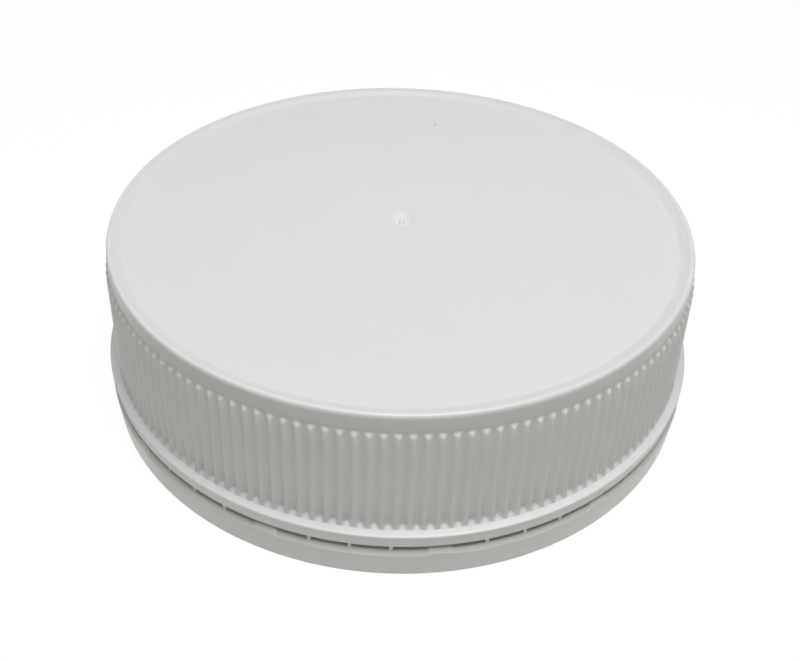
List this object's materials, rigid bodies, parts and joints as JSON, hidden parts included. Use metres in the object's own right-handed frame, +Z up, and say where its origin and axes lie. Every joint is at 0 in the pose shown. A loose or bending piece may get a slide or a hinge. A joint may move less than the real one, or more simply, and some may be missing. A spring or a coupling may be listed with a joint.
{
  "type": "tamper-evident screw cap",
  "caption": "Wide-mouth screw cap with a raised rim, ribbed skirt, flange, inner thread and plug seal, and a tamper-evident band held by thin bridges.",
  "frame": {"origin": "middle of the band's foot, at the base of the cap", "axes": "+Z up along the cap's axis from the open mouth to the panel, -Y towards the front, +X to the right"},
  "size_m": [0.12, 0.12, 0.0354],
  "materials": {
    "white_plastic": "satin moulded surface"
  },
  "bodies": {
    "root": {"cap": "white_plastic"}
  },
  "joints": []
}
